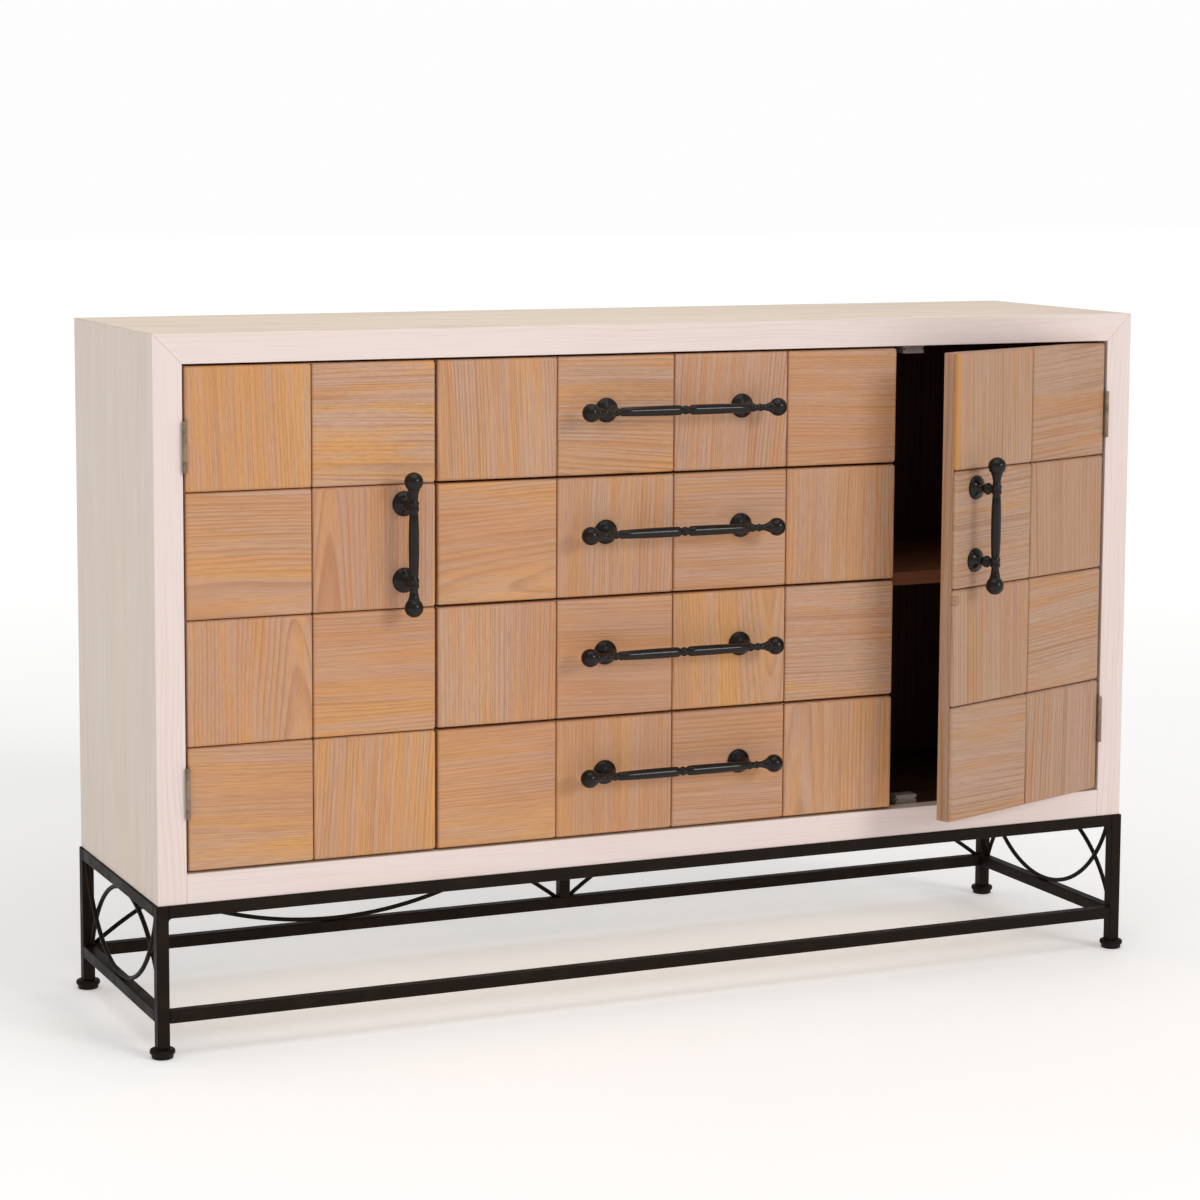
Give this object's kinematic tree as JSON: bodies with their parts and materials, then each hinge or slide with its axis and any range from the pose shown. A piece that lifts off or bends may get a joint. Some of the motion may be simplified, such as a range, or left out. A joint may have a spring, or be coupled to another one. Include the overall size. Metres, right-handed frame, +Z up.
{
  "type": "sideboard",
  "caption": "Whitewashed wooden sideboard with tiled pine doors and drawers, black cast handles and a black tube frame with bent rods",
  "frame": {"origin": "on the floor, under the middle of the wooden case", "axes": "+X to the right as seen from the front, -Y out of the front, +Z up"},
  "size_m": [1.421, 0.5236, 0.9],
  "materials": {
    "whitewashed_wood": "satin whitewash over faint grain",
    "dark_inside_wood": "dark brown stain",
    "stained_shelf_wood": "reddish brown stain",
    "brushed_pine": "brushed grain with a thin grey whitewash",
    "drawer_box_wood": "plain",
    "black_frame_steel": "dark bronze black powder coat",
    "black_cast_iron": "satin black",
    "aged_hinge_steel": "aged",
    "zinc_plated_steel": "zinc plated",
    "grey_plastic": "matte"
  },
  "bodies": {
    "case_and_frame": {"top_panel": "whitewashed_wood", "left_side_panel": "whitewashed_wood", "right_side_panel": "whitewashed_wood", "bottom_panel": "whitewashed_wood", "back_panel": "dark_inside_wood", "left_partition": "dark_inside_wood", "right_partition": "dark_inside_wood", "left_shelf": "stained_shelf_wood", "right_shelf": "stained_shelf_wood", "shelf_pegs": "zinc_plated_steel", "runner_channels": "zinc_plated_steel", "magnetic_catches": "grey_plastic", "frame_hinge_leaves": "aged_hinge_steel", "hinge_pins": "aged_hinge_steel", "frame_hinge_screws": "aged_hinge_steel", "legs": "black_frame_steel", "feet": "black_frame_steel", "top_rails": "black_frame_steel", "lower_stretchers": "black_frame_steel", "centre_post": "black_frame_steel", "left_side_arcs": "black_frame_steel", "right_side_arcs": "black_frame_steel", "back_arcs": "black_frame_steel", "bolts_and_welds": "black_frame_steel"},
    "left_door": {"left_door_board": "brushed_pine", "left_door_tiles": "brushed_pine", "left_door_handle": "black_cast_iron", "left_door_hinge_leaves": "aged_hinge_steel", "left_door_hinge_screws": "aged_hinge_steel", "left_door_strikes": "zinc_plated_steel"},
    "right_door": {"right_door_board": "brushed_pine", "right_door_tiles": "brushed_pine", "right_door_handle": "black_cast_iron", "right_door_hinge_leaves": "aged_hinge_steel", "right_door_hinge_screws": "aged_hinge_steel", "right_door_strikes": "zinc_plated_steel"},
    "drawer_1": {"drawer_1_front": "brushed_pine", "drawer_1_tiles": "brushed_pine", "drawer_1_box": "drawer_box_wood", "drawer_1_bottom": "drawer_box_wood", "drawer_1_rails": "zinc_plated_steel", "drawer_1_handle": "black_cast_iron"},
    "drawer_2": {"drawer_2_front": "brushed_pine", "drawer_2_tiles": "brushed_pine", "drawer_2_box": "drawer_box_wood", "drawer_2_bottom": "drawer_box_wood", "drawer_2_rails": "zinc_plated_steel", "drawer_2_handle": "black_cast_iron"},
    "drawer_3": {"drawer_3_front": "brushed_pine", "drawer_3_tiles": "brushed_pine", "drawer_3_box": "drawer_box_wood", "drawer_3_bottom": "drawer_box_wood", "drawer_3_rails": "zinc_plated_steel", "drawer_3_handle": "black_cast_iron"},
    "drawer_4": {"drawer_4_front": "brushed_pine", "drawer_4_tiles": "brushed_pine", "drawer_4_box": "drawer_box_wood", "drawer_4_bottom": "drawer_box_wood", "drawer_4_rails": "zinc_plated_steel", "drawer_4_handle": "black_cast_iron"}
  },
  "joints": [
    {"name": "left_door_hinge", "type": "hinge", "parent": "case_and_frame", "child": "left_door", "pos_m": [-0.661, -0.1859, 0.5465], "axis": [0, 0, -1], "range_deg": [0, 110]},
    {"name": "right_door_hinge", "type": "hinge", "parent": "case_and_frame", "child": "right_door", "pos_m": [0.661, -0.1859, 0.5465], "axis": [0, 0, 1], "range_deg": [-21.4, 88]},
    {"name": "drawer_1_slide", "type": "slide", "parent": "case_and_frame", "child": "drawer_1", "axis": [0, -1, 0], "range_m": [0, 0.25]},
    {"name": "drawer_2_slide", "type": "slide", "parent": "case_and_frame", "child": "drawer_2", "axis": [0, -1, 0], "range_m": [0, 0.25]},
    {"name": "drawer_3_slide", "type": "slide", "parent": "case_and_frame", "child": "drawer_3", "axis": [0, -1, 0], "range_m": [0, 0.25]},
    {"name": "drawer_4_slide", "type": "slide", "parent": "case_and_frame", "child": "drawer_4", "axis": [0, -1, 0], "range_m": [0, 0.25]}
  ]
}
